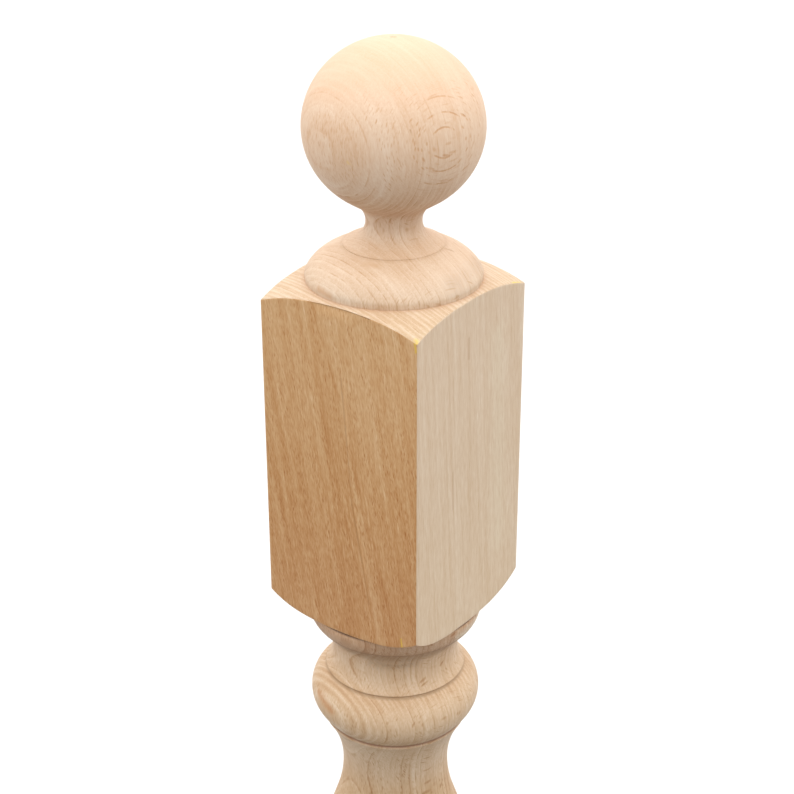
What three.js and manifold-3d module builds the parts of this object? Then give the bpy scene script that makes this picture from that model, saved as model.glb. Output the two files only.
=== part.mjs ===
// A ball-top newel post: one length of square beech, turned round between its two blocks.
// Millimetres, +Z up. The origin is the centre of the underside, and X and Y stand square
// to the faces of the blocks.

import * as THREE from 'three';
import { mergeVertices } from 'three/addons/utils/BufferGeometryUtils.js';
import Module from 'manifold-3d';

// Driving dimensions of the post
const blankSide = 90;
const postHeight = 1200;
const finialHeight = 122;
const upperBlockHeight = 158;
const lowerBlockTop = 330;
const upperBlockTop = postHeight - finialHeight;
const upperBlockFoot = upperBlockTop - upperBlockHeight;
const cornerRadius = blankSide / Math.SQRT2;

// Facets: sides to the full turn, and the most degrees that one step of an arc turns through
const sidesRound = 48;
const degreesPerStep = 16;

// Along the blocks the profile runs clear of the blank's corners
const clearRadius = 66;

// Ball, a little flattened, and the neck under it
const ball = { radius: 42.3, heightAbove: 40.8, heightBelow: 40, endAngle: -56.5, coneFootRadius: 18 };
const neck = { filletAbove: 9.9, filletBelow: 9, footAboveBlock: 35.9 };

// Cushion between neck and block: a flare, a fine cut, a cone and a round hip
const flare = { angle: 66.3, footRadius: 24.3 };
const cone = { angle: 61.7, footRadius: 33.2 };
const hip = { upperRadius: 22.4, turn: 32.8, lowerRadius: 6, end: 5 };
const fineCut = { width: 1.2, depth: 0.7 };

// Domed top of each block, from the ring round the turning out to the blank's corners
const dome = { ringRadius: 42.2, rise: 7.6, radius: 65 };

// Underside of the upper block. Drops are measured down from the block's bottom corners.
const underDome = { radius: 33.5, cornerAngle: -44.3, endAngle: -81.5 };
const disc = { topRadius: 44.2, topDrop: 11.6, radius: 12.7, from: 5, to: -40, edgeDrop: 21 };
const discStep = { inward: 1.6, down: 0.5 };
const cove = { radius: 32.5, drop: 38.4, lipRadius: 36.1, lipDrop: 48.5 };
const torus = { startRadius: 35.9, startDrop: 50, radiusAbove: 16.3, from: 59, radiusBelow: 17.2, to: -49 };
const torusFoot = { radius: 37.3, drop: 78.2 };
const scotia = { radius: 27.9, drop: 110.9, lipRadius: 37, lipDrop: 80.4, radiusBelow: 75, angle: 18.8 };

// Vase of the shaft and its long taper, with heights above the underside
const vase = { shoulderHeight: 772, radius: 110 };
const taper = { angle: 3.4, radiusAbove: 420, footHeight: 455, radiusBelow: 300 };

// Plainer mouldings above the lower block, with heights above the underside
const lowerScotia = { radius: 90, angle: 28 };
const lowerTorus = { radius: 16.2, halfAngle: 56, topHeight: 392, topRadius: 35.5 };
const lowerCove = { radius: 32.6, height: 355, lipRadius: 35.6, lipHeight: 363.2 };
const coveFoot = { radius: 39.4, height: 342 };
const fillet = { radius: 41.6, top: 341.4, foot: 338.6 };

const radians = THREE.MathUtils.degToRad;
const degrees = THREE.MathUtils.radToDeg;

// The profile is a path down the post, a list of [radius, height] points. Angles are in
// degrees, 0 pointing out from the post's axis and 90 pointing up.
const lastOf = (path) => path[path.length - 1];

function goTo(path, radius, height) {
  path.push([radius, height]);
}

// A straight stretch to a radius or down to a height, at an angle off the upright
function slopeToRadius(path, angle, radius) {
  const [fromRadius, fromHeight] = lastOf(path);
  goTo(path, radius, fromHeight - (radius - fromRadius) / Math.tan(radians(angle)));
}

function slopeToHeight(path, angle, height) {
  const [fromRadius, fromHeight] = lastOf(path);
  goTo(path, fromRadius + (fromHeight - height) * Math.tan(radians(angle)), height);
}

// An arc, or part of an ellipse, that starts from the path's last point
function bend(path, across, from, to, up = across) {
  const [startRadius, startHeight] = lastOf(path);
  const centreRadius = startRadius - across * Math.cos(radians(from));
  const centreHeight = startHeight - up * Math.sin(radians(from));
  const steps = Math.max(2, Math.ceil(Math.abs(to - from) / degreesPerStep));
  for (let i = 1; i <= steps; i += 1) {
    const angle = radians(from + ((to - from) * i) / steps);
    goTo(path, centreRadius + across * Math.cos(angle), centreHeight + up * Math.sin(angle));
  }
}

// A fine V cut into the surface, from the path's last point to the point given
function cutTo(path, radius, height) {
  const [fromRadius, fromHeight] = lastOf(path);
  goTo(path, Math.min(fromRadius, radius) - fineCut.depth, (fromHeight + height) / 2);
  goTo(path, radius, height);
}

// Half a hollow, from lip to waist or from waist to lip: the arc that stands upright at the
// waist and passes through the lip
function hollow(path, waist, lip) {
  const spread = lip.radius - waist.radius;
  const rise = lip.height - waist.height;
  const radius = (spread ** 2 + rise ** 2) / (2 * spread);
  const sweep = degrees(Math.asin(Math.abs(rise) / radius));
  if (rise > 0) bend(path, radius, 180 - sweep, 180);
  else bend(path, radius, 180, 180 + sweep);
}

// Ball, neck and cushion
function finial(path) {
  bend(path, ball.radius, 90, 0, ball.heightAbove);
  bend(path, ball.radius, 0, ball.endAngle, ball.heightBelow);
  const end = radians(ball.endAngle);
  const lean = degrees(Math.atan2(Math.sin(end) / ball.heightBelow, Math.cos(end) / ball.radius));
  slopeToRadius(path, lean, ball.coneFootRadius);
  bend(path, neck.filletAbove, 180 + lean, 180);
  slopeToHeight(path, 0, upperBlockTop + neck.footAboveBlock);
  bend(path, neck.filletBelow, 180, 180 + flare.angle);
  slopeToRadius(path, flare.angle, flare.footRadius);
  const [, cutHeight] = lastOf(path);
  cutTo(path, flare.footRadius + fineCut.width / 2, cutHeight - fineCut.width / 2);
  slopeToRadius(path, cone.angle, cone.footRadius);
  bend(path, hip.upperRadius, cone.angle, hip.turn);
  bend(path, hip.lowerRadius, hip.turn, hip.end);
}

// The domed top of a block: its arc runs from the ring through the blank's corners and on
function domedTop(path, blockTop) {
  const out = cornerRadius - dome.ringRadius;
  const tilt = degrees(Math.atan2(dome.rise, out));
  const halfSweep = degrees(Math.asin(Math.hypot(out, dome.rise) / 2 / dome.radius));
  const from = 90 - tilt + halfSweep;
  const centreRadius = dome.ringRadius - dome.radius * Math.cos(radians(from));
  cutTo(path, dome.ringRadius, blockTop + dome.rise);
  bend(path, dome.radius, from, degrees(Math.acos((clearRadius - centreRadius) / dome.radius)));
}

// The domed underside of a block, from outside the blank's corners in to the turning
function domedUnderside(path, blockFoot) {
  const corner = radians(underDome.cornerAngle);
  const centreRadius = cornerRadius - underDome.radius * Math.cos(corner);
  const centreHeight = blockFoot - underDome.radius * Math.sin(corner);
  const from = -Math.acos((clearRadius - centreRadius) / underDome.radius);
  goTo(path, clearRadius, centreHeight + underDome.radius * Math.sin(from));
  bend(path, underDome.radius, degrees(from), underDome.endAngle);
}

// Disc, cove, torus and scotia under the upper block
function mouldingsUnderBlock(path) {
  const at = (drop) => upperBlockFoot - drop;
  cutTo(path, disc.topRadius, at(disc.topDrop));
  bend(path, disc.radius, disc.from, disc.to);
  slopeToHeight(path, disc.to, at(disc.edgeDrop));
  const [edgeRadius, edgeHeight] = lastOf(path);
  const coveTop = { radius: edgeRadius - discStep.inward, height: edgeHeight - discStep.down };
  const coveWaist = { radius: cove.radius, height: at(cove.drop) };
  goTo(path, coveTop.radius, coveTop.height);
  hollow(path, coveWaist, coveTop);
  hollow(path, coveWaist, { radius: cove.lipRadius, height: at(cove.lipDrop) });
  cutTo(path, torus.startRadius, at(torus.startDrop));
  bend(path, torus.radiusAbove, torus.from, 0);
  bend(path, torus.radiusBelow, 0, torus.to);
  goTo(path, torusFoot.radius, at(torusFoot.drop));
  cutTo(path, scotia.lipRadius, at(scotia.lipDrop));
  const scotiaWaist = { radius: scotia.radius, height: at(scotia.drop) };
  hollow(path, scotiaWaist, { radius: scotia.lipRadius, height: at(scotia.lipDrop) });
  bend(path, scotia.radiusBelow, 180, 180 + scotia.angle);
}

// The vase and the long taper down from it
function shaft(path) {
  slopeToHeight(path, scotia.angle, vase.shoulderHeight);
  bend(path, vase.radius, scotia.angle, 0);
  bend(path, taper.radiusAbove, 0, -taper.angle);
  slopeToHeight(path, -taper.angle, taper.footHeight);
  bend(path, taper.radiusBelow, 180 - taper.angle, 180);
}

// Scotia, torus, cove and fillet above the lower block
function mouldingsOverBlock(path) {
  bend(path, lowerScotia.radius, 180, 180 + lowerScotia.angle);
  cutTo(path, lowerTorus.topRadius, lowerTorus.topHeight);
  bend(path, lowerTorus.radius, lowerTorus.halfAngle, -lowerTorus.halfAngle);
  cutTo(path, lowerCove.lipRadius, lowerCove.lipHeight);
  const waist = { radius: lowerCove.radius, height: lowerCove.height };
  hollow(path, waist, { radius: lowerCove.lipRadius, height: lowerCove.lipHeight });
  hollow(path, waist, coveFoot);
  goTo(path, fillet.radius, fillet.top);
  goTo(path, fillet.radius, fillet.foot);
}

// The whole path, from the top of the ball to below the underside
function postProfile() {
  const path = [[0, postHeight]];
  finial(path);
  domedTop(path, upperBlockTop);
  domedUnderside(path, upperBlockFoot);
  mouldingsUnderBlock(path);
  shaft(path);
  mouldingsOverBlock(path);
  domedTop(path, lowerBlockTop);
  goTo(path, clearRadius, -blankSide);
  goTo(path, 0, -blankSide);
  return path;
}

const wasm = await Module();
wasm.setup();

// A closed geometry as a solid: only positions are kept, and shared corners are merged
function solidOf(geometry) {
  geometry.deleteAttribute('normal');
  geometry.deleteAttribute('uv');
  const merged = mergeVertices(geometry);
  const vertProperties = new Float32Array(merged.attributes.position.array);
  const triVerts = new Uint32Array(merged.index.array);
  return new wasm.Manifold(new wasm.Mesh({ numProp: 3, vertProperties, triVerts }));
}

function geometryOf(solid) {
  const { vertProperties, triVerts } = solid.getMesh();
  const geometry = new THREE.BufferGeometry();
  geometry.setAttribute('position', new THREE.BufferAttribute(vertProperties, 3));
  geometry.setIndex(new THREE.BufferAttribute(triVerts, 1));
  geometry.computeVertexNormals();
  return geometry;
}

// What is left of the square blank once the lathe has followed the path
function turnedPost() {
  const upwards = postProfile().reverse();
  const points = upwards.map(([radius, height]) => new THREE.Vector2(radius, height));
  const turning = solidOf(new THREE.LatheGeometry(points, sidesRound).rotateX(Math.PI / 2));
  const blankHeight = postHeight + blankSide;
  const blank = new THREE.BoxGeometry(blankSide, blankSide, blankHeight);
  return geometryOf(turning.intersect(solidOf(blank.translate(0, 0, blankHeight / 2))));
}

const beech = new THREE.MeshStandardMaterial({ color: 0xdcb78f, roughness: 0.62, metalness: 0 });

const newelPost = new THREE.Mesh(turnedPost(), beech);
newelPost.name = 'newel_post';

const group = new THREE.Group();
group.add(newelPost);

export default group;
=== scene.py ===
# Ball-top newel post in raw beech: a square blank turned round between its two blocks.
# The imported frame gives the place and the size, and this file gives the fine shape and the finish.
import bpy
import numpy as np
from mathutils import Matrix, Vector


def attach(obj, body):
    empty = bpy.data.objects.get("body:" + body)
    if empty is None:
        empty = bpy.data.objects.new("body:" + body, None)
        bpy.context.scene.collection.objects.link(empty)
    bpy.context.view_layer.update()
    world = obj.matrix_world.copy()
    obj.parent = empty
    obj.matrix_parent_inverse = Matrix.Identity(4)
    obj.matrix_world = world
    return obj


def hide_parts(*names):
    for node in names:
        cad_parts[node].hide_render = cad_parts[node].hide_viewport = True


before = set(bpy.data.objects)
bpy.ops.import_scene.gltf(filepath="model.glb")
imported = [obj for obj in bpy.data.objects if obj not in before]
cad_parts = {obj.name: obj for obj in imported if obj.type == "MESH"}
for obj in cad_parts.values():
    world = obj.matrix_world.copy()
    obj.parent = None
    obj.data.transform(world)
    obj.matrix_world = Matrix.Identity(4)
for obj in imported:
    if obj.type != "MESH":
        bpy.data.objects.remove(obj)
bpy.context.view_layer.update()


# Small helpers

def linearColour(hexColour):   # sRGB hex to linear: each part goes through the sRGB curve
    parts = np.array([int(hexColour[i:i + 2], 16) for i in (1, 3, 5)]) / 255
    linear = np.where(parts <= 0.04045, parts / 12.92, ((parts + 0.055) / 1.055) ** 2.4)
    return (*linear.tolist(), 1.0)


# One node with its settings, then its sockets in order or by name. Each socket gets a value, another
# socket or a node, whose first output it takes.
def addNode(tree, kind, settings=None, links=()):
    node = tree.nodes.new("ShaderNode" + kind)
    for name, value in (settings or {}).items():
        setattr(node, name, value)
    for socket, value in links.items() if isinstance(links, dict) else enumerate(links):
        if isinstance(value, bpy.types.Node):
            value = next(output for output in value.outputs if output.enabled)
        if isinstance(value, bpy.types.NodeSocket):
            tree.links.new(value, node.inputs[socket])
        else:
            node.inputs[socket].default_value = value
    return node


def smoothStep(low, high, values):   # 0 below low, 1 above high, an S curve between
    t = np.clip((values - low) / (high - low), 0, 1)
    return t * t * (3 - 2 * t)


# The post's sizes in millimetres, heights above the underside and radii from the post's axis

post = {
    "side": 90.0, "height": 1200.0, "upperBlockTop": 1078.0, "upperBlockFoot": 920.0, "lowerBlockTop": 330.0,
    "ball": {"radius": 42.3, "above": 40.8, "below": 40.0, "end": -56.5, "coneFoot": 18.0},
    "neck": {"above": 9.9, "below": 9.0, "foot": 35.9},
    "flare": {"angle": 66.3, "foot": 24.3},
    "cone": {"angle": 61.7, "foot": 33.2},
    "hip": {"upper": 22.4, "turn": 32.8, "lower": 6.0, "end": 5.0},
    "cut": {"width": 1.2, "depth": 0.7},
    "dome": {"ring": 42.2, "rise": 7.6, "radius": 65.0},
    "underDome": {"radius": 33.5, "corner": -44.3, "end": -81.5},
    "disc": {"top": 44.2, "drop": 11.6, "radius": 12.7, "turnFrom": 5.0, "turnTo": -40.0, "edge": 21.0},
    "discStep": (1.6, 0.5),
    "cove": {"waist": (32.5, 38.4), "lip": (36.1, 48.5)},
    "torus": {"start": (35.9, 50.0), "above": 16.3, "turnFrom": 59.0, "below": 17.2, "turnTo": -49.0},
    "torusFoot": (37.3, 78.2),
    "scotia": {"waist": (27.9, 110.9), "lip": (37.0, 80.4), "below": 75.0, "angle": 18.8},
    "vase": {"shoulder": 772.0, "radius": 110.0},
    "taper": {"angle": 3.4, "above": 420.0, "foot": 455.0, "below": 300.0},
    "lowerScotia": {"radius": 90.0, "angle": 28.0},
    "lowerTorus": {"radius": 16.2, "half": 56.0, "top": (35.5, 392.0)},
    "lowerCove": {"waist": (32.6, 355.0), "lip": (35.6, 363.2), "foot": (39.4, 342.0)},
    "fillet": {"radius": 41.6, "top": 341.4, "foot": 338.6},
    "topMark": {"radius": 1.7, "depth": 1.3},   # left by the lathe's centre
    "footMark": {"radius": 5.0, "depth": 3.0},
    "footChamfer": 1.0,
    "softArris": 0.16,   # how far sanding took an arris in
    "crowd": (0.45, 2.0),   # how far from an arris its two nearest rows or columns stand
    "tearOut": {"from": -17.0, "to": 12.0, "ease": 9.0, "depth": 0.55, "height": 1.2},   # under one arris
    "columnsPerQuarter": 34,
    "degreesPerStep": 3.2,
    "shortStep": 1.3,   # longest step on a curve
    "longStep": 4.5,    # longest step on a straight
}


# The turned profile, a path from the top down. Each function adds an array of points [radius, height].

def lineTo(path, radius, height):   # evenly spaced points on a straight line
    start = path[-1][-1]
    end = np.array([radius, height])
    count = max(1, int(np.ceil(np.linalg.norm(end - start) / post["longStep"])))
    t = np.arange(1, count + 1)[:, None] / count
    path.append(start + t * (end - start))


def slopeTo(path, angle, radius=None, height=None):   # a line at an angle off the upright, to a radius or a height
    start = path[-1][-1]
    slope = np.tan(np.radians(angle))
    if radius is None:
        radius = start[0] + (start[1] - height) * slope
    else:
        height = start[1] - (radius - start[0]) / slope
    lineTo(path, radius, height)


def bend(path, across, turnFrom, turnTo, up=None):   # centre + (across cos a, up sin a), starting at the last point
    up = across if up is None else up
    start = path[-1][-1]
    first = np.radians(turnFrom)
    centre = start - np.array([across * np.cos(first), up * np.sin(first)])
    turn = abs(turnTo - turnFrom)
    byLength = np.radians(turn) * max(across, up) / post["shortStep"]
    # As few steps as either limit allows, but none longer than three short steps
    count = max(3, int(np.ceil(min(turn / post["degreesPerStep"], byLength))), int(np.ceil(byLength / 3)))
    angles = np.radians(turnFrom + (turnTo - turnFrom) * np.arange(1, count + 1) / count)
    path.append(centre + np.column_stack([across * np.cos(angles), up * np.sin(angles)]))


def cutTo(path, radius, height, share=1.0):   # a fine V, its bottom half way to the point and a share of a cut in
    start = path[-1][-1]
    lineTo(path, min(start[0], radius) - post["cut"]["depth"] * share, (start[1] + height) / 2)
    lineTo(path, radius, height)


def hollow(path, waist, lip):   # half a hollow: the circle upright at the waist and through the lip
    spread, rise = lip[0] - waist[0], lip[1] - waist[1]
    radius = (spread ** 2 + rise ** 2) / (2 * spread)
    sweep = np.degrees(np.arcsin(abs(rise) / radius))
    bend(path, radius, *((180 - sweep, 180) if rise > 0 else (180, 180 + sweep)))


def finialPath():   # lathe mark, ball, neck and cushion, down to the ring on the upper block
    ball, neck, hip, mark = post["ball"], post["neck"], post["hip"], post["topMark"]
    top = post["height"]
    rim = np.degrees(np.arccos(mark["radius"] / ball["radius"]))
    rimHeight = top - ball["above"] * (1 - np.sin(np.radians(rim)))
    path = [np.array([[mark["radius"] * 0.3, top - mark["depth"] * 0.75],
                      [mark["radius"] * 0.8, top - mark["depth"] * 0.3], [mark["radius"], rimHeight]])]
    bend(path, ball["radius"], rim, 0, ball["above"])
    bend(path, ball["radius"], 0, ball["end"], ball["below"])
    end = np.radians(ball["end"])
    lean = np.degrees(np.arctan2(np.sin(end) / ball["below"], np.cos(end) / ball["radius"]))
    slopeTo(path, lean, radius=ball["coneFoot"])
    bend(path, neck["above"], 180 + lean, 180)
    slopeTo(path, 0, height=post["upperBlockTop"] + neck["foot"])
    bend(path, neck["below"], 180, 180 + post["flare"]["angle"])
    slopeTo(path, post["flare"]["angle"], radius=post["flare"]["foot"])
    half = post["cut"]["width"] / 2
    cutTo(path, post["flare"]["foot"] + half, path[-1][-1][1] - half, 0.03)
    slopeTo(path, post["cone"]["angle"], radius=post["cone"]["foot"])
    bend(path, hip["upper"], post["cone"]["angle"], hip["turn"])
    bend(path, hip["lower"], hip["turn"], hip["end"])
    cutTo(path, post["dome"]["ring"], post["upperBlockTop"] + post["dome"]["rise"], 0.08)
    return np.vstack(path)


def middlePath():   # from the ring under the upper block down to the ring on the lower one
    start = underDomeCircle(post["upperBlockFoot"])
    path = [np.array([[start["end"], start["endHeight"]]])]
    at = lambda pair: (pair[0], post["upperBlockFoot"] - pair[1])
    disc, torus, scotia = post["disc"], post["torus"], post["scotia"]
    cutTo(path, *at((disc["top"], disc["drop"])))
    bend(path, disc["radius"], disc["turnFrom"], disc["turnTo"])
    slopeTo(path, disc["turnTo"], height=post["upperBlockFoot"] - disc["edge"])
    edge = path[-1][-1]
    coveTop = (edge[0] - post["discStep"][0], edge[1] - post["discStep"][1])
    lineTo(path, *coveTop)
    hollow(path, at(post["cove"]["waist"]), coveTop)
    hollow(path, at(post["cove"]["waist"]), at(post["cove"]["lip"]))
    cutTo(path, *at(torus["start"]), 0.4)
    bend(path, torus["above"], torus["turnFrom"], 0)
    bend(path, torus["below"], 0, torus["turnTo"])
    lineTo(path, *at(post["torusFoot"]))
    cutTo(path, *at(scotia["lip"]))
    hollow(path, at(scotia["waist"]), at(scotia["lip"]))
    bend(path, scotia["below"], 180, 180 + scotia["angle"])
    slopeTo(path, scotia["angle"], height=post["vase"]["shoulder"])
    bend(path, post["vase"]["radius"], scotia["angle"], 0)
    bend(path, post["taper"]["above"], 0, -post["taper"]["angle"])
    slopeTo(path, -post["taper"]["angle"], height=post["taper"]["foot"])
    bend(path, post["taper"]["below"], 180 - post["taper"]["angle"], 180)
    bend(path, post["lowerScotia"]["radius"], 180, 180 + post["lowerScotia"]["angle"])
    lowerTorus, lowerCove, fillet = post["lowerTorus"], post["lowerCove"], post["fillet"]
    cutTo(path, *lowerTorus["top"])
    bend(path, lowerTorus["radius"], lowerTorus["half"], -lowerTorus["half"])
    cutTo(path, *lowerCove["lip"])
    hollow(path, lowerCove["waist"], lowerCove["lip"])
    hollow(path, lowerCove["waist"], lowerCove["foot"])
    lineTo(path, fillet["radius"], fillet["top"])
    lineTo(path, fillet["radius"], fillet["foot"])
    cutTo(path, post["dome"]["ring"], post["lowerBlockTop"] + post["dome"]["rise"])
    return np.vstack(path)


cornerRadius = post["side"] / np.sqrt(2)


def domeHeight(blockTop, radii):   # the circle through the ring and the blank's corner, height over each radius
    dome = post["dome"]
    out = cornerRadius - dome["ring"]
    halfSweep = np.arcsin(np.hypot(out, dome["rise"]) / 2 / dome["radius"])
    start = np.pi / 2 - np.arctan2(dome["rise"], out) + halfSweep
    centre = dome["ring"] - dome["radius"] * np.cos(start)
    middle = blockTop + dome["rise"] - dome["radius"] * np.sin(start)
    return middle + np.sqrt(dome["radius"] ** 2 - (radii - centre) ** 2)


def underDomeCircle(blockFoot):   # centre and inner end of the circle that passes through the blank's corner
    under = post["underDome"]
    centre = cornerRadius - under["radius"] * np.cos(np.radians(under["corner"]))
    middle = blockFoot - under["radius"] * np.sin(np.radians(under["corner"]))
    end = np.radians(under["end"])
    return {"centre": centre, "middle": middle, "end": centre + under["radius"] * np.cos(end),
            "endHeight": middle + under["radius"] * np.sin(end)}


def underDomeHeight(blockFoot, radii):   # height under each radius on that circle
    circle = underDomeCircle(blockFoot)
    return circle["middle"] - np.sqrt(post["underDome"]["radius"] ** 2 - (radii - circle["centre"]) ** 2)


# The skin: rows down the post by columns round it. Columns crowd at the blank's corners, and
# rows crowd at the arrises, so that both are softened and the flats stay flat.

def columnAngles():   # even steps in each quarter, and pairs close to each corner
    half = post["side"] / 2
    near = np.degrees(np.arctan2(half, half - np.array(post["crowd"])))
    quarter = np.linspace(0, 90, post["columnsPerQuarter"] + 1)[:-1]
    crowd = np.concatenate([near, 90 - near, [45.0]])
    clear = np.min(np.abs(quarter[:, None] - crowd), axis=1) > 0.7   # an even step this near a pair gives way to it
    quarter = np.sort(np.concatenate([quarter[clear], crowd]))
    return np.radians(np.concatenate([quarter + 90 * k for k in range(4)]))


def flatRadius(theta):   # distance from the axis to the square's side, drawn in a little at the corners
    plain = post["side"] / 2 / np.maximum(np.abs(np.cos(theta)), np.abs(np.sin(theta)))
    atCorner = np.abs(np.cos(2 * theta)) < 1e-6
    return plain - atCorner * post["softArris"] * np.sqrt(2)


def waver(theta, seed):   # a slow wander of 0.5 to 1.5 round the post, for arrises sanded by hand
    return 1 + 0.28 * np.sin(7 * theta + seed) + 0.22 * np.sin(17 * theta + 2.3 * seed)


def arrisOffsets(span):   # two rows close to an arris, then even rows to the far end of the span
    first = np.minimum(post["crowd"][0], 0.25 * span)
    second = np.minimum(post["crowd"][1], 0.55 * span)
    rest = [second + (span - second) * k / 9 for k in range(1, 10)]
    return [first, second, *rest]


def blockRows(theta, blockTop, blockFoot):   # dome, arris, planed sides, arris and what is under them
    flat = flatRadius(theta)
    soft = post["softArris"] * waver(theta, blockTop)
    rows = []
    ring = post["dome"]["ring"]
    for offset in reversed(arrisOffsets(flat - ring)[:-1]):
        rows.append((flat - offset, domeHeight(blockTop, flat - offset), "turned"))
    top = domeHeight(blockTop, flat)
    rows.append((flat - soft * 0.6, top - soft * 0.6, "turned"))
    foot = underDomeHeight(blockFoot, flat) if blockFoot > 0 else np.full_like(theta, post["footChamfer"])
    near, far = post["crowd"]
    planed = [top - near, top - 1.1, top - far]
    count = int(np.ceil((blockTop - blockFoot) / post["longStep"]))
    planed += [top - far + (foot + far - (top - far)) * k / count for k in range(1, count + 1)]
    planed += [foot + near] if blockFoot > 0 else []
    rows += [(flat, height, "planed") for height in planed]
    if blockFoot > 0:
        circle = underDomeCircle(blockFoot)
        rows.append((flat - soft * 0.5, foot + soft * 0.5, "planed"))
        for offset in arrisOffsets(flat - circle["end"])[:-1]:
            rows.append((flat - offset, underDomeHeight(blockFoot, flat - offset), "turned"))
    else:
        chamfer, mark = post["footChamfer"], post["footMark"]
        rows.append((flat, foot, "planed"))
        rows.append((flat * (1 - chamfer / (post["side"] / 2)), np.zeros_like(theta), "planed"))
        for share in (0.95, 0.8, 0.6, 0.4, 0.25):
            rows.append((flat * share, np.zeros_like(theta), "sawn"))
        rows.append((np.full_like(theta, mark["radius"]), np.zeros_like(theta), "sawn"))
        rows.append((np.full_like(theta, mark["radius"] * 0.3), np.full_like(theta, mark["depth"] * 0.7), "sawn"))
    return rows


def turnedRows(theta, path):   # a point of the path, the same all the way round
    return [(np.full_like(theta, radius), np.full_like(theta, height), "turned") for radius, height in path]


def pressTearOut(points):   # fibres torn out under an arris: the -Y face pushed in, deepest in the middle of the tear
    tear, half = post["tearOut"], post["side"] / 2
    x, y, z = points.T
    below = domeHeight(post["upperBlockTop"], np.hypot(np.minimum(np.abs(x), half), half)) - z
    along = smoothStep(tear["from"], tear["from"] + tear["ease"], x)
    along = along * (1 - smoothStep(tear["to"] - tear["ease"], tear["to"], x))
    down = smoothStep(0.1, 0.4, below) * (1 - smoothStep(tear["height"], 2 * tear["height"], below))
    points[:, 1] += np.where(np.abs(y + half) < 0.01, tear["depth"] * along * down, 0)
    return points


theta = columnAngles()
rows = turnedRows(theta, finialPath())
rows += blockRows(theta, post["upperBlockTop"], post["upperBlockFoot"])
rows += turnedRows(theta, middlePath())
rows += blockRows(theta, post["lowerBlockTop"], 0.0)
radii = np.array([row[0] for row in rows])
heights = np.array([row[1] for row in rows])
kinds = np.array([row[2] for row in rows])
rowCount, columnCount = radii.shape
grid = np.stack([radii * np.cos(theta), radii * np.sin(theta), heights], axis=-1).reshape(-1, 3)
grid = pressTearOut(grid)
poles = np.array([[0, 0, post["height"] - post["topMark"]["depth"]], [0, 0, post["footMark"]["depth"]]])
points = np.vstack([grid, poles])

index = np.arange(rowCount * columnCount).reshape(rowCount, columnCount)
beside = np.roll(index, -1, axis=1)
quads = np.stack([index[:-1], index[1:], beside[1:], beside[:-1]], axis=-1).reshape(-1, 4)
topPole, footPole = len(grid), len(grid) + 1
topCap = np.stack([np.full(columnCount, topPole), index[0], beside[0]], axis=-1)
footCap = np.stack([np.full(columnCount, footPole), beside[-1], index[-1]], axis=-1)
print("skin:", len(points), "points,", 2 * len(quads) + 2 * columnCount, "triangles")

mesh = bpy.data.meshes.new("turned_post")
mesh.from_pydata((points / 1000).tolist(), [], quads.tolist() + topCap.tolist() + footCap.tolist())
turnedPost = bpy.data.objects.new("turned_post", mesh)
bpy.context.scene.collection.objects.link(turnedPost)

# Which finish each face has: 0 turned and sanded, 1 planed flat-sawn, 2 planed quarter-sawn, 3 sawn end
rowKind = kinds[1:]
quadAngle = np.angle(np.exp(1j * theta) + np.exp(1j * np.roll(theta, -1)))
onX = np.abs(np.cos(quadAngle)) > np.abs(np.sin(quadAngle))
planedFinish = np.where(onX, 2, 1)
faceFinish = np.where((rowKind == "planed")[:, None], planedFinish, np.where((rowKind == "sawn")[:, None], 3, 0))
materialIndex = np.concatenate([faceFinish.ravel(), np.zeros(columnCount, int), np.full(columnCount, 3)])
mesh.polygons.foreach_set("material_index", materialIndex.astype(np.int32))
mesh.shade_smooth()
mesh.set_sharp_from_angle(angle=np.radians(38))


# The wood's own directions, in millimetres: one board, its rings nearly flat and facing the -Y side,
# its fibres leaning a little off the upright.

grain = {
    "out": (-0.30, -0.95, -0.075),   # away from the pith
    "fibre": (-0.10, -0.05, 1.0),
    "pith": 450.0,                   # how far behind the post's axis the pith lay
    "level": 1000.0,                 # the height at which it lay square behind the axis
    "ringWidth": 2.74,
    "ringShift": 0.35,
    "wander": 0.35, "flutter": 0.10,   # how far a ring strays, slowly and quickly, on its way up
    "uneven": (0.32, 0.18),            # good and bad years, in rings
}

along = np.array(grain["fibre"]) / np.linalg.norm(grain["fibre"])
out = np.array(grain["out"]) - along * (np.array(grain["out"]) @ along)
out = out / np.linalg.norm(out)
grainAxes = np.column_stack([out, np.cross(along, out), along])


def grainSpace(points):   # distances from the pith, across the rays and up the fibres, and rings counted outwards
    depth, across, height = ((points - [0, 0, grain["level"]]) @ grainAxes).T
    distance = np.hypot(depth + grain["pith"], across)
    distance = distance + grain["wander"] * np.sin(height / 47 + across / 31)
    distance = distance + grain["flutter"] * np.sin(height / 16 - across / 13 + 1.1)
    slow, quick = grain["uneven"]
    rings = distance / grain["ringWidth"] + grain["ringShift"]
    rings = rings + slow * np.sin(distance / 4.3) + quick * np.sin(distance / 2.1 + 2.0)
    return np.column_stack([distance, across, height]), rings


space, ringCount = grainSpace(points)
mesh.attributes.new("grain", "FLOAT_VECTOR", "POINT").data.foreach_set("vector", space.astype(np.float32).ravel())
mesh.attributes.new("rings", "FLOAT", "POINT").data.foreach_set("value", ringCount.astype(np.float32))
print("grain: distances from the pith", round(float(space[:, 0].min())), "to", round(float(space[:, 0].max())))


# Raw beech: pinkish cream, fine and even, with thin darker rings and short brown ray flecks.
# body gives the plain colour at each height in mm. The pattern then raises it to a power: 1 leaves
# it as it is, and a higher power makes it darker and more orange, as denser wood is.

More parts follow.
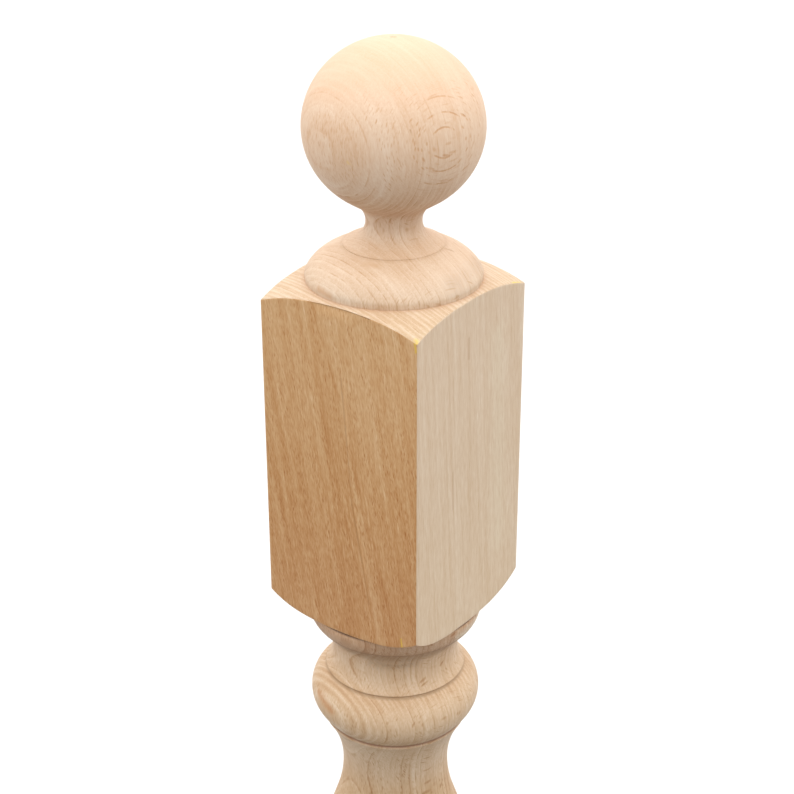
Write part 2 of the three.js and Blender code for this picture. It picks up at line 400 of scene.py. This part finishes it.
finishes = {
    "beech turned and sanded": {   # pale and smooth, rings drawn as thin lines, flecks small
        # the darker stops from 897 to 912 mm are painted shade on the disc under the block and on the top of the cove
        "body": {760: "#B99772", 800: "#C1A17D", 818: "#CBB194", 838: "#CBB193", 846: "#CCB090", 868: "#D0B495",
                 888: "#CFB191", 897: "#C2A283", 900: "#BA9879", 908: "#C3A081", 912: "#C9A685", 1078: "#D1BB9F",
                 1088: "#D4BA9F", 1095: "#D7BDA3", 1105: "#DABDA0", 1116: "#D6B99E", 1130: "#DBBFA4",
                 1150: "#E0C1A4", 1176: "#E0C1A4", 1196: "#DDBA9D"},
        "bands": 0.18, "bandWidth": 5.0, "bandSpread": 26.0, "fibres": 0.16, "fibreLength": 4.5,
        "rings": 0.42, "rays": 0.50, "rayShare": 0.93, "rayDepth": 12.0, "pale": 0.05,
        "roughness": 0.60, "relief": 0.10, "turning": 0.05, "lean": 0.0,
    },
    "beech planed on the flat": {   # orange-brown from age and the planer, dense with dark dashes
        "body": {330: "#C09263", 930: "#BF9061", 990: "#C29463", 1070: "#CCA273"},
        "bands": 0.15, "bandWidth": 14.0, "bandSpread": 5.0, "fibres": 0.22, "fibreLength": 4.5,
        "rings": 0.16, "rays": 0.46, "rayShare": 0.95, "rayDepth": 3.0, "pale": 0.16,
        "roughness": 0.60, "relief": 0.16, "turning": 0.0, "lean": 0.07,
    },
    "beech planed on the quarter": {   # pale grey-pink with fine straight lines
        "body": {330: "#D3BC9F", 930: "#D2BA9D", 1000: "#D2BA9E", 1070: "#D5BDA2"},
        "bands": 0.14, "bandWidth": 2.3, "bandSpread": 12.0, "fibres": 0.16, "fibreLength": 14.0,
        "rings": 0.15, "rays": 0.0, "rayShare": 0.3, "rayDepth": 6.0, "pale": 0.08,
        "roughness": 0.60, "relief": 0.10, "turning": 0.0, "lean": 0.0,
    },
    "beech sawn end": {   # end grain, darker and rougher
        "body": {0: "#B98F66"},
        "bands": 0.30, "bandWidth": 4.0, "bandSpread": 20.0, "fibres": 0.30, "fibreLength": 3.0,
        "rings": 0.5, "rays": 0.5, "rayShare": 0.8, "rayDepth": 20.0, "pale": 0.0,
        "roughness": 0.80, "relief": 0.40, "turning": 0.0, "lean": 0.0,
    },
}

# Where up the post a pattern changes: from one height to another in metres, and its strength at each
zones = {
    "crown": (1.170, 1.192, 1.0, 0.45),        # the top of the ball was sanded smoothest of all
    "ball": (1.147, 1.126, 0.7, 2.6),          # the rest of it too, but not its foot
    "underBall": (1.114, 1.122, 0.46, 1.0),
    "crownStripes": (1.162, 1.145, 0.12, 0.8),
    "neckStripes": (1.112, 1.124, 0.3, 1.0),
    "shoulderStripes": (1.094, 1.084, 0.25, 0.75),
    "arcs": (1.130, 1.134, 0.0, 1.0),          # wide rays show on the ball alone
    "torusTop": (0.875, 0.868, 0.25, 1.0),
    "torusFoot": (0.836, 0.846, 0.3, 1.0),
}

# Rays wide enough to show as arcs on the ball's side: the way their sheets face there, how deep each lies
# under the ball's skin, half its thickness, and how far above and below their middle it starts to show, in mm
wideRays = {
    "facing": (0.924, -0.373, 0.078),
    "lift": 3.0,   # how far above the ball's middle theirs is
    "sheets": [
        {"deep": 0.65, "thick": 0.11, "clear": 4.2},
        {"deep": 2.3, "thick": 0.18, "clear": 9.0},
        {"deep": 5.2, "thick": 0.26, "clear": 15.5},
    ],
}

# Cuts and creases of the turning: height and half width in mm
cutLines = [
    {"height": 1102.9, "half": 0.9, "colour": "#B0855C", "strength": 0.18},   # below the flare
    {"height": 1085.8, "half": 0.7, "colour": "#B88D6C", "strength": 0.35},   # where the cushion meets the block
    {"height": 909.5, "half": 1.5, "colour": "#55361F", "strength": 0.80},   # painted shade in the gap between the block and the disc
    {"height": 898.9, "half": 1.2, "colour": "#6E4A30", "strength": 0.50},   # painted shade in the crease under the disc's edge
    {"height": 894.5, "half": 5.0, "colour": "#6E5138", "strength": 0.30},   # painted shadow that the disc casts on the top of the cove
    {"height": 870.6, "half": 1.5, "colour": "#8F6A40", "strength": 0.55},   # over the torus
    {"height": 841.0, "half": 1.6, "colour": "#7A4A30", "strength": 0.70},   # under the torus
]

# Small stains, painted shade and painted light on each finish: from one point to another in mm, half width, colour
# and strength
marks = {
    "beech turned and sanded": [
        # spots on the ball
        {"from": (5, -42, 1154), "to": (6.5, -42, 1153), "half": 0.9, "colour": "#E3BE66", "strength": 0.6},
        {"from": (-11.5, -41, 1159.5), "to": (-11, -41, 1158.5), "half": 0.8, "colour": "#B57A48", "strength": 0.6},
        {"from": (29.5, -28.4, 1169.5), "to": (29.8, -28.2, 1167.5),
         "half": 0.5, "colour": "#B88455", "strength": 0.7},
        # the orange streak on the torus
        {"from": (-21.9, -37.1, 861), "to": (-10, -42.4, 858), "half": 2.7, "colour": "#B67C47", "strength": 0.80},
        # stains on the cushion
        {"from": (-14.4, -39.8, 1089), "to": (-5.9, -41.8, 1088), "half": 1.6, "colour": "#C08C5C", "strength": 0.55},
        {"from": (3.5, -27.5, 1102), "to": (9, -26, 1101), "half": 1.8, "colour": "#C79A6E", "strength": 0.4},
        {"from": (24, 8, 1102), "to": (26.5, 11, 1101), "half": 0.8, "colour": "#A97C55", "strength": 0.6},
        # yellow spots on the block's corners
        {"from": (43.5, -43.5, 1079.6), "to": (45, -45, 1078.2), "half": 1.2, "colour": "#E0C24A", "strength": 0.9},
        {"from": (44.8, 34, 1081.4), "to": (45, 41, 1079.9), "half": 0.9, "colour": "#E6CC58", "strength": 0.8},
        # painted shade: on the disc's left, the shadow the disc casts below it, and on the cushion's right
        {"from": (-34, -30, 905), "to": (2, -44, 905), "half": 3.0, "colour": "#9A7352", "strength": 0.35},
        {"from": (10, -34, 888.5), "to": (28, -21, 888.5), "half": 3.8, "colour": "#5E432C", "strength": 0.36},
        {"from": (38, -8, 1092), "to": (32, 22, 1092), "half": 5.0, "colour": "#B0937A", "strength": 0.40},
        # painted light on the disc's right side
        {"from": (43.5, -5, 903.5), "to": (42, 14, 903.5), "half": 4.2, "colour": "#EADCC3", "strength": 0.60},
        {"from": (42, 14, 903.5), "to": (34, 29, 903.5), "half": 4.2, "colour": "#EADCC3", "strength": 0.60},
    ],
    "beech planed on the flat": [
        # yellow spots at the top and the foot
        {"from": (43.6, -45, 1078.8), "to": (44.4, -45, 1074.2), "half": 0.7, "colour": "#D9B43A", "strength": 0.9},
        {"from": (36, -45, 920), "to": (36.5, -45, 916), "half": 0.7, "colour": "#D9B43A", "strength": 0.7},
        # painted shade under the torn arris
        {"from": (-8, -45, 1085.0), "to": (8, -45, 1085.0), "half": 0.55, "colour": "#5F4126", "strength": 0.8},
        {"from": (8, -45, 1085.0), "to": (19, -45, 1083.9), "half": 0.45, "colour": "#5F4126", "strength": 0.8},
        # a dark streak down the face, and the pale fibres beside it
        {"from": (2, -45, 1050), "to": (5, -45, 1015), "half": 0.45, "colour": "#9E6F41", "strength": 0.5},
        {"from": (5, -45, 1015), "to": (7.4, -45, 985), "half": 0.4, "colour": "#9E6F41", "strength": 0.4},
        {"from": (7.4, -45, 985), "to": (13, -45, 955), "half": 0.5, "colour": "#966638", "strength": 0.55},
        {"from": (13, -45, 955), "to": (17, -45, 933), "half": 0.45, "colour": "#966638", "strength": 0.45},
        {"from": (3.6, -45, 1048), "to": (6.4, -45, 1012), "half": 0.5, "colour": "#DDB587", "strength": 0.45},
        {"from": (9, -45, 984), "to": (15.2, -45, 950), "half": 0.45, "colour": "#D9AF7E", "strength": 0.45},
    ],
    "beech planed on the quarter": [
        # a broad pale streak, then short brown ones
        {"from": (45, 22, 1060), "to": (45, 26, 945), "half": 8.0, "colour": "#DCCDB3", "strength": 0.4},
        {"from": (45, -3.3, 1066), "to": (45, -3.0, 1056), "half": 1.0, "colour": "#B48F6D", "strength": 0.55},
        {"from": (45, -15.1, 1001), "to": (45, -14.7, 981), "half": 0.7, "colour": "#B8967A", "strength": 0.5},
        {"from": (45, 16, 1032), "to": (45, 16.6, 1004), "half": 0.6, "colour": "#BD9A78", "strength": 0.4},
    ],
}


# What all the finishes share. A pair is the two ends that a smooth step runs between, from 0 to 1, and
# four values are those ends and what they become.
pattern = {
    "ringWander": 0.45,                      # how far the wander noise shifts a ring, in rings
    "ringStart": 0.3, "ringEnd": 0.8,        # how dark a year's growth is at its start and end, and between
    "ringBetween": {0.07: 0.0, 0.55: 0.03, 0.80: 0.25, 0.93: 1.0},
    "yearPower": 1.4, "yearLeast": 0.25,     # most years are weak, a few strong
    "ringBreaks": (0.38, 0.62, 0.2, 1.0),
    "openArcs": (0.55, 0.88, 0.0, -0.45),    # how squarely the torus faces away from the pith
    "acrossGrain": (0.80, 0.35),             # how squarely a surface faces along the fibres
    "rayCells": [                            # in mm, and a shift that keeps the two layers apart
        {"thick": 0.80, "tall": 5.0, "shift": 0.0},
        {"thick": 0.55, "tall": 3.6, "shift": 37.0},
    ],
    "rayDash": (0.36, 0.10),
    "rayPatches": (0.36, 0.52, 0.1, 1.0),
    "arcs": 1.2,                             # the wide rays' strength beside that of the others
    "looseFibre": (0.55, 0.75),
    "reliefShares": {"rings": -0.3, "fibres": 0.6, "rays": -0.4},   # fibres stand up, rays and rings are sunk
    "sanding": (6, 6, 1700),                 # to the metre: 0.6 mm apart, as real lines would not show
    "roughSpread": 0.12,
}

# Settings that many nodes share. A node set to smooth takes a value, the ends it runs between and what they become.
smooth = {"interpolation_type": "SMOOTHSTEP"}
multiply, multiplyAdd, subtract = {"operation": "MULTIPLY"}, {"operation": "MULTIPLY_ADD"}, {"operation": "SUBTRACT"}
dot, absolute = {"operation": "DOT_PRODUCT"}, {"operation": "ABSOLUTE"}


# What every pattern is drawn from: places in the board and on the post, the zones, and noises along the grain
def readBoard(tree, finish):
    space = addNode(tree, "Attribute", {"attribute_name": "grain"}).outputs["Vector"]
    if finish["lean"]:   # the fibres drift further sideways on their way down
        upright = addNode(tree, "SeparateXYZ", {}, [space]).outputs["Z"]
        drift = addNode(tree, "VectorMath", {"operation": "SCALE"}, {0: (0.0, finish["lean"], 0.0), "Scale": upright})
        space = addNode(tree, "VectorMath", {"operation": "ADD"}, [space, drift])
    count = addNode(tree, "Attribute", {"attribute_name": "rings"}).outputs["Fac"]
    coordinates = addNode(tree, "TexCoord")
    place, normal = coordinates.outputs["Object"], coordinates.outputs["Normal"]
    level = addNode(tree, "SeparateXYZ", {}, [place]).outputs["Z"]
    facing = addNode(tree, "Math", absolute, [addNode(tree, "VectorMath", dot, [normal, grainAxes[:, 2].tolist()])])
    acrossGrain = addNode(tree, "MapRange", smooth, [facing, *pattern["acrossGrain"]])
    board = {"space": space, "place": place, "level": level, "normal": normal, "acrossGrain": acrossGrain}
    for key, ends in zones.items():
        board[key] = addNode(tree, "MapRange", smooth, [level, *ends])

    # The mm that one unit of each noise covers outwards, across and along, then its detail and roughness
    noises = {
        "bands": (finish["bandWidth"], finish["bandSpread"], 150, 3.0, 0.6),   # broad tones that follow the rings
        "fibres": (0.6, 0.6, finish["fibreLength"], 2.0, 0.6),   # 0.6 mm, as real ones, at 0.1 mm, would not show
        "wander": (16, 24, 60, 4.0, 0.45),   # rings swing out and in
        "breaks": (2.0, 4, 14, 2.0, 0.5),    # ring lines come and go
        "loose": (14, 2.2, 70, 2.0, 0.5),    # long pale lines of looser fibre
        "patches": (3, 6, 6, 1.0, 0.5),      # wide rays come and go
    }
    for key, (outward, across, lengthwise, detail, roughness) in noises.items():
        stretched = addNode(tree, "VectorMath", multiply, [space, (1 / outward, 1 / across, 1 / lengthwise)])
        board[key] = addNode(tree, "TexNoise", {},
                             {"Vector": stretched, "Scale": 1.0, "Detail": detail, "Roughness": roughness})
    board["year"] = addNode(tree, "Math", multiplyAdd, [board["wander"], pattern["ringWander"], count])
    return board


# Rings: a line comes on slowly and stops sharply at the year's end, and some years are stronger. Where the
# surface faces along the fibres they are soft stripes instead, 0.5 - 0.5 cos of the years.
def drawRings(tree, finish, board):
    rings = addNode(tree, "ValToRGB", {}, [addNode(tree, "Math", {"operation": "FRACT"}, [board["year"]])])
    rings.color_ramp.elements[0].color = (pattern["ringStart"],) * 3 + (1,)
    rings.color_ramp.elements[1].color = (pattern["ringEnd"],) * 3 + (1,)
    for position, dark in pattern["ringBetween"].items():
        rings.color_ramp.elements.new(position).color = (dark, dark, dark, 1)
    whole = addNode(tree, "Math", {"operation": "FLOOR"}, [board["year"]])
    chance = addNode(tree, "TexWhiteNoise", {"noise_dimensions": "1D"}, {"W": whole})
    chance = addNode(tree, "Math", {"operation": "POWER"}, [chance, pattern["yearPower"]])
    strength = addNode(tree, "Math", {"operation": "ADD"}, [chance, pattern["yearLeast"]])
    broken = addNode(tree, "MapRange", smooth, [board["breaks"], *pattern["ringBreaks"]])
    for share in (strength, broken, board["ball"], board["underBall"]):
        rings = addNode(tree, "Math", multiply, [rings, share])

    striped = addNode(tree, "Math", multiply, [board["crownStripes"], board["neckStripes"]])
    striped = addNode(tree, "Math", {"operation": "MAXIMUM"}, [striped, board["shoulderStripes"]])
    endOn = addNode(tree, "Math", multiply, [addNode(tree, "Math", subtract, [1.0, board["acrossGrain"]]), striped])
    turn = addNode(tree, "Math", multiply, [board["year"], 2 * np.pi])
    wave = addNode(tree, "Math", {"operation": "COSINE"}, [turn])
    swell = addNode(tree, "Math", multiplyAdd, [wave, -0.5, 0.5])
    rings = addNode(tree, "Math", multiplyAdd, [swell, endOn, rings])
    if finish["turning"]:   # where the torus faces away from the pith its rings lie open in broad arcs
        outward = addNode(tree, "VectorMath", dot, [board["normal"], grainAxes[:, 0].tolist()])
        openArcs = addNode(tree, "MapRange", smooth, [outward, *pattern["openArcs"]])
        for share in (board["torusTop"], board["torusFoot"]):
            openArcs = addNode(tree, "Math", multiply, [openArcs, share])
        rings = addNode(tree, "Math", multiplyAdd, [wave, openArcs, rings])
    return rings


# Rays: thin sheets a few millimetres tall and deeper still, so they show as dashes. They are drawn 0.4 mm
# thick, because real ones, at 0.1 to 0.2 mm, would not show.
def drawRays(tree, finish, board):
    rays = 0.0
    for cell in pattern["rayCells"]:
        size = (1 / finish["rayDepth"], 1 / cell["thick"], 1 / cell["tall"])
        stretched = addNode(tree, "VectorMath", multiply, [board["space"], size])
        shifted = addNode(tree, "VectorMath", {"operation": "ADD"}, [stretched, (cell["shift"],) * 3])
        cells = addNode(tree, "TexVoronoi", {}, {"Vector": shifted, "Scale": 1.0})
        pick = addNode(tree, "SeparateColor", {}, [cells.outputs["Color"]])
        shown = addNode(tree, "MapRange", smooth, [pick, 1 - finish["rayShare"], 1.0])
        dash = addNode(tree, "MapRange", smooth, [cells.outputs["Distance"], *pattern["rayDash"]])
        rays = addNode(tree, "Math", multiplyAdd, [dash, shown, rays])
    clear = addNode(tree, "Math", multiplyAdd, [board["acrossGrain"], 0.9, 0.1])   # faint where the fibres end
    return addNode(tree, "Math", multiply, [rays, clear])


# Wide rays: a thin arc wherever the ball's skin is as far out along their facing as a sheet lies
def drawArcs(tree, board):
    ball = post["ball"]
    middle = (post["height"] - ball["above"]) / 1000
    fromMiddle = addNode(tree, "VectorMath", subtract, [board["place"], (0, 0, middle)])
    inside = addNode(tree, "VectorMath", dot, [fromMiddle, wideRays["facing"]])
    upDown = addNode(tree, "Math", subtract, [board["level"], middle + wideRays["lift"] / 1000])
    upDown = addNode(tree, "Math", absolute, [upDown])
    arcs = 0.0
    for sheet in wideRays["sheets"]:
        thick, clear = sheet["thick"] / 1000, sheet["clear"] / 1000
        off = addNode(tree, "Math", subtract, [inside, (ball["radius"] - sheet["deep"]) / 1000])
        off = addNode(tree, "Math", absolute, [off])
        drawn = addNode(tree, "MapRange", smooth, [off, thick, 0.3 * thick])
        ends = addNode(tree, "MapRange", smooth, [upDown, clear, 1.25 * clear])
        arcs = addNode(tree, "Math", multiplyAdd, [drawn, ends, arcs])
    patchy = addNode(tree, "MapRange", smooth, [board["patches"], *pattern["rayPatches"]])
    for share in (board["arcs"], patchy):
        arcs = addNode(tree, "Math", multiply, [arcs, share])
    return arcs


# Cuts and marks: each one's colour laid over the wood by its strength, fading with the distance from its line
def addMarks(tree, name, board, colour):
    covers = []
    for cut in cutLines if finishes[name]["turning"] else []:   # a darker band along each cut and crease; those by the disc are painted shade
        half = cut["half"] / 1000
        away = addNode(tree, "Math", subtract, [board["level"], cut["height"] / 1000])
        away = addNode(tree, "Math", absolute, [away])
        covered = addNode(tree, "MapRange", smooth, [away, half, 0.2 * half, 0.0, cut["strength"]])
        covers.append((covered, cut))
    for mark in marks.get(name, []):
        half = mark["half"] / 1000
        begin, reach = np.array(mark["from"]) / 1000, (np.array(mark["to"]) - mark["from"]) / 1000
        offset = addNode(tree, "VectorMath", subtract, [board["place"], begin.tolist()])
        share = addNode(tree, "VectorMath", dot, [offset, reach.tolist()])
        share = addNode(tree, "Math", {"operation": "MULTIPLY", "use_clamp": True}, [share, 1 / float(reach @ reach)])
        nearest = addNode(tree, "VectorMath", {"operation": "SCALE"}, {0: reach.tolist(), "Scale": share})
        away = addNode(tree, "VectorMath", {"operation": "DISTANCE"}, [offset, nearest])
        frayed = addNode(tree, "Math", multiplyAdd, [board["fibres"], 3 * half, away])   # its edge follows the fibres
        covered = addNode(tree, "MapRange", smooth, [frayed, 3 * half, 1.1 * half, 0.0, mark["strength"]])
        covers.append((covered, mark))
    for covered, stainOrPaintedLight in covers:
        links = {0: covered, 6: colour, 7: linearColour(stainOrPaintedLight["colour"])}
        colour = addNode(tree, "Mix", {"data_type": "RGBA"}, links)
    return colour


# Colour = body to the power of 1 + bands + fibres + rings + rays - pale streaks, then cuts and marks over it
def makeBeech(name, finish):
    material = bpy.data.materials.new(name)
    material.use_nodes = True
    tree = material.node_tree
    tree.nodes.clear()
    board = readBoard(tree, finish)
    rings, rays = drawRings(tree, finish, board), drawRays(tree, finish, board)
    if finish["turning"]:
        rays = addNode(tree, "Math", multiplyAdd, [drawArcs(tree, board), pattern["arcs"], rays])
    pale = addNode(tree, "MapRange", smooth, [board["loose"], *pattern["looseFibre"]])
    power = 1.0
    for key in ("bands", "fibres"):
        swing = addNode(tree, "Math", subtract, [board[key], 0.5])
        power = addNode(tree, "Math", multiplyAdd, [swing, finish[key] * 4, power])
    for drawn, share in ((rings, finish["rings"]), (rays, finish["rays"]), (pale, -finish["pale"])):
        power = addNode(tree, "Math", multiplyAdd, [drawn, share, power])
    if finish["turning"]:   # the ball's crown shows less of the pattern
        change = addNode(tree, "Math", subtract, [power, 1.0])
        power = addNode(tree, "Math", multiplyAdd, [change, board["crown"], 1.0])

    upPost = addNode(tree, "Math", {"operation": "DIVIDE"}, [board["level"], post["height"] / 1000])
    body = addNode(tree, "ValToRGB", {}, [upPost])
    stops = sorted(finish["body"].items())
    body.color_ramp.elements[0].color = linearColour(stops[0][1])
    body.color_ramp.elements[1].color = linearColour(stops[-1][1])
    for height, colour in stops:
        body.color_ramp.elements.new(height / post["height"]).color = linearColour(colour)
    colour = addMarks(tree, name, board, addNode(tree, "Gamma", {}, [body, power]))

    height, relief = 0.0, pattern["reliefShares"]
    for drawn, share in ((rings, relief["rings"]), (board["fibres"], relief["fibres"]), (rays, relief["rays"])):
        height = addNode(tree, "Math", multiplyAdd, [drawn, share, height])
    if finish["turning"]:   # fine lines left by the tool and the sandpaper, round the post
        lines = addNode(tree, "VectorMath", multiply, [board["place"], pattern["sanding"]])
        lines = addNode(tree, "TexNoise", {}, {"Vector": lines, "Scale": 1.0, "Detail": 1.0})
        height = addNode(tree, "Math", multiplyAdd, [lines, finish["turning"] / finish["relief"], height])
    bump = addNode(tree, "Bump", {}, {"Strength": 0.6, "Distance": finish["relief"] / 1000, "Height": height})
    spread = pattern["roughSpread"]
    rough = addNode(tree, "Math", multiplyAdd, [board["fibres"], spread, finish["roughness"] - spread / 2])
    wood = {"Base Color": colour, "Roughness": rough, "Normal": bump, "IOR": 1.5, "Specular IOR Level": 0.4}
    addNode(tree, "OutputMaterial", {}, [addNode(tree, "BsdfPrincipled", {}, wood)])
    return material


for name, finish in finishes.items():
    mesh.materials.append(makeBeech(name, finish))
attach(turnedPost, "root")
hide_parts("newel_post")
print("beech:", len(finishes), "finishes")


# The studio: a pale floor, one broad soft light overhead and a soft surround. Places and sizes are in
# metres, angles in degrees and the lens in mm.

studio = {
    "cameraPlace": (0.4608, -0.6377, 1.4000), "azimuth": 35.76, "elevation": 25.64, "roll": -0.12, "lens": 81.16,
    "floorColour": "#CFCECC", "floorGlow": 0.02, "wallGlow": 0.30,
    "floorRadius": 8.0, "floorGap": 0.0002, "sweepRadius": 2.5, "wallHeight": 6.0, "floorColumns": 96,
    "softboxHeight": 3.6, "softboxSide": 2.0, "softboxPower": 4.0,
    "surroundAbove": 1.92, "surroundBelow": 0.39, "edgeFrom": 0.09, "edgeTo": 0.50,
    "backdropGlow": 0.85, "glowFrom": -0.45, "glowTo": 0.85,
}

azimuth, elevation, roll = (np.radians(studio[key]) for key in ("azimuth", "elevation", "roll"))
back = Vector((np.sin(azimuth) * np.cos(elevation), -np.cos(azimuth) * np.cos(elevation), np.sin(elevation)))
level = Vector((np.cos(azimuth), np.sin(azimuth), 0))
upright = back.cross(level)
right = level * np.cos(roll) + upright * np.sin(roll)
up = back.cross(right)
camera = bpy.data.objects.new("camera", bpy.data.cameras.new("camera"))
camera.data.lens, camera.data.sensor_width = studio["lens"], 36.0
camera.data.clip_start, camera.data.clip_end = 0.05, 100.0
camera.matrix_world = Matrix.Translation(studio["cameraPlace"]) @ Matrix((right, up, back)).transposed().to_4x4()
bpy.context.scene.collection.objects.link(camera)
bpy.context.scene.camera = camera

# Floor and backdrop in one: a flat disc that sweeps up through a quarter circle into a round wall
bends = np.radians(np.linspace(0, 90, 17))[1:]
sweep, reach = studio["sweepRadius"], studio["floorRadius"]
floorRadii = np.concatenate([np.linspace(0.5, reach, 9), reach + sweep * np.sin(bends), [reach + sweep]])
floorHeights = np.concatenate([np.zeros(9), sweep * (1 - np.cos(bends)), [studio["wallHeight"]]]) - studio["floorGap"]
around = np.linspace(0, 2 * np.pi, studio["floorColumns"] + 1)[:-1]
floorPoints = np.stack([floorRadii[:, None] * np.cos(around), floorRadii[:, None] * np.sin(around),
                        floorHeights[:, None] + 0 * around], axis=-1).reshape(-1, 3)
floorIndex = np.arange(len(floorPoints)).reshape(len(floorRadii), -1)
floorBeside = np.roll(floorIndex, -1, axis=1)
floorQuads = np.stack([floorIndex[:-1], floorIndex[1:], floorBeside[1:], floorBeside[:-1]], axis=-1).reshape(-1, 4)
middlePoint = np.full(studio["floorColumns"], len(floorPoints))
floorMiddle = np.stack([middlePoint, floorIndex[0], floorBeside[0]], axis=-1)
floorMesh = bpy.data.meshes.new("floor")
floorMesh.from_pydata(np.vstack([floorPoints, [0, 0, -studio["floorGap"]]]).tolist(), [],
                      floorQuads.tolist() + floorMiddle.tolist())
floorMesh.shade_smooth()
floor = bpy.data.objects.new("floor", floorMesh)
bpy.context.scene.collection.objects.link(floor)
paint = bpy.data.materials.new("matt backdrop paint")   # off-white and lit evenly, so that it carries no pattern
paint.use_nodes = True
paint.node_tree.nodes.clear()
paintPlace = addNode(paint.node_tree, "TexCoord").outputs["Object"]
paintHeight = addNode(paint.node_tree, "SeparateXYZ", {}, [paintPlace]).outputs["Z"]
paintGlow = addNode(paint.node_tree, "MapRange", smooth,
                    [paintHeight, 0.0, sweep, studio["floorGlow"], studio["wallGlow"]])
even = {"Base Color": linearColour(studio["floorColour"]), "Roughness": 0.9, "Specular IOR Level": 0.1,
        "Emission Color": (1, 1, 1, 1), "Emission Strength": paintGlow}
matt = addNode(paint.node_tree, "BsdfPrincipled", {}, even)
addNode(paint.node_tree, "OutputMaterial", {}, [matt])
floorMesh.materials.append(paint)
# The backdrop throws no light or shade on the post: what the post sees below it is the dimmer surround
floor.visible_diffuse = floor.visible_glossy = floor.visible_shadow = False

softbox = bpy.data.objects.new("softbox", bpy.data.lights.new("softbox", "AREA"))
softbox.data.shape, softbox.data.size, softbox.data.energy = "SQUARE", studio["softboxSide"], studio["softboxPower"]
softbox.location = (0, 0, studio["softboxHeight"])
bpy.context.scene.collection.objects.link(softbox)

world = bpy.data.worlds.new("surround")
bpy.context.scene.world = world
world.use_nodes = True
sky = world.node_tree
sky.nodes.clear()
direction = addNode(sky, "TexCoord").outputs["Generated"]
rise = addNode(sky, "SeparateXYZ", {}, [direction]).outputs["Z"]
brightness = addNode(sky, "MapRange", smooth,
                     [rise, studio["edgeFrom"], studio["edgeTo"], studio["surroundBelow"], studio["surroundAbove"]])
# The white backdrop behind the post lights its outline from low down
behind = addNode(sky, "VectorMath", dot, [direction, (-float(back.x), -float(back.y), 0.0)])
glow = addNode(sky, "MapRange", smooth, [behind, studio["glowFrom"], studio["glowTo"], 0.0, studio["backdropGlow"]])
lowDown = addNode(sky, "MapRange", smooth, [rise, studio["edgeTo"], studio["edgeFrom"]])
strength = addNode(sky, "Math", multiplyAdd, [glow, lowDown, brightness])
surround = addNode(sky, "Background", {}, [(1, 1, 1, 1), strength])
addNode(sky, "OutputWorld", {}, [surround])
bpy.context.scene.view_settings.view_transform = "Standard"
print("studio: camera, floor, softbox and surround")
